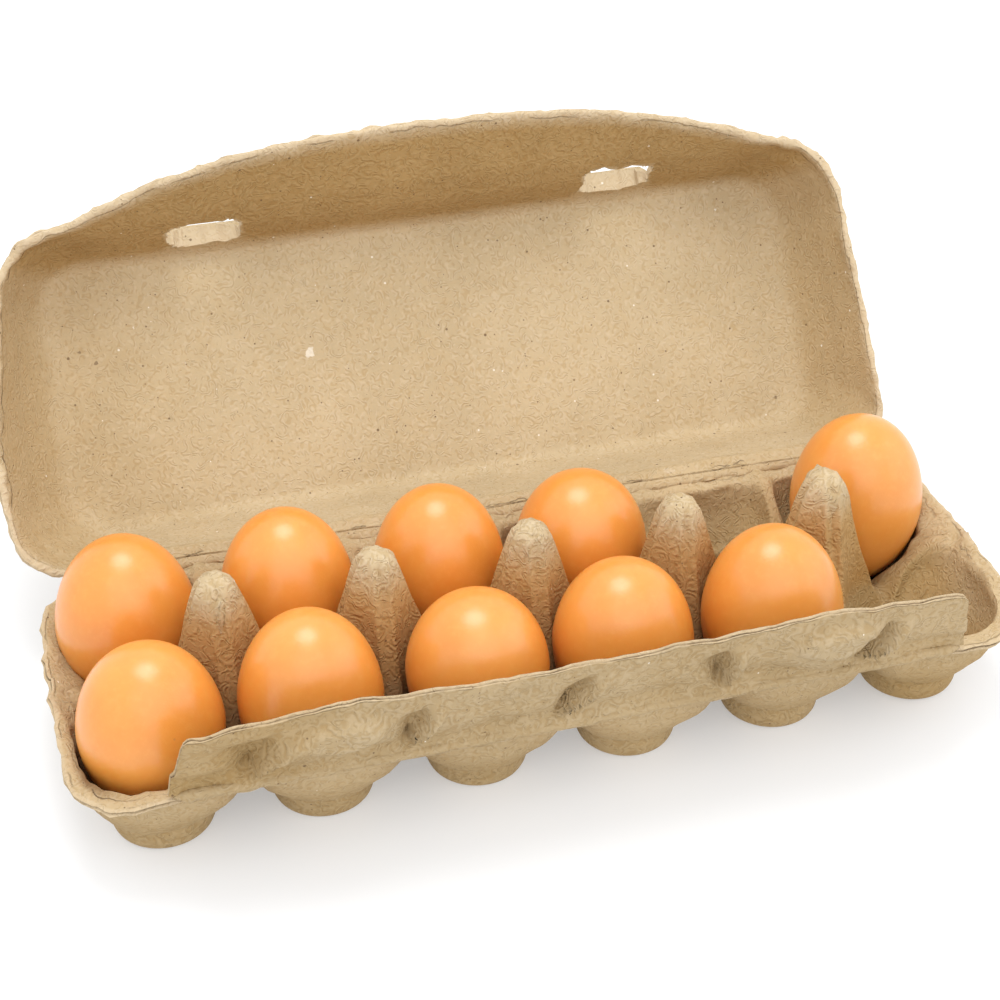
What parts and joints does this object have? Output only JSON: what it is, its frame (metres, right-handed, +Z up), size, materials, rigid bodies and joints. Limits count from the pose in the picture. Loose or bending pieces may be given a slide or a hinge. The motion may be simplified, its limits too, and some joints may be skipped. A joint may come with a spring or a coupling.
{
  "type": "egg carton",
  "caption": "Moulded pulp egg carton with an open hinged lid, a locking flap, cups, tall centre posts and brown eggs in most of its cups.",
  "frame": {"origin": "under the middle of the object's bounding box, on the surface it stands on", "axes": "+X along the egg rows to the right seen from the flap side, +Y from the locking flap to the hinge, +Z up"},
  "size_m": [0.3008, 0.2114, 0.1419],
  "materials": {
    "pulp": "matte moulded pulp",
    "eggshell": "satin eggshell"
  },
  "bodies": {
    "tray": {"tray": "pulp", "egg_front_1": "eggshell", "egg_front_2": "eggshell", "egg_front_3": "eggshell", "egg_front_4": "eggshell", "egg_front_5": "eggshell", "egg_back_1": "eggshell", "egg_back_2": "eggshell", "egg_back_3": "eggshell", "egg_back_4": "eggshell", "egg_back_6": "eggshell"},
    "lid": {"lid": "pulp"},
    "flap": {"flap": "pulp"}
  },
  "joints": [
    {"name": "lid_hinge", "type": "hinge", "parent": "tray", "child": "lid", "pos_m": [0.00189, 0.01655, 0.0337], "axis": [1, 0, 0], "range_deg": [-38, 126]},
    {"name": "flap_fold", "type": "hinge", "parent": "tray", "child": "flap", "pos_m": [0.00189, -0.09525, 0.0361], "axis": [-1, 0, 0], "range_deg": [-14.1, 46.7]}
  ],
  "couplings": [
    {"joint": "flap_fold", "follows": "lid_hinge", "ratio": 0.37}
  ]
}
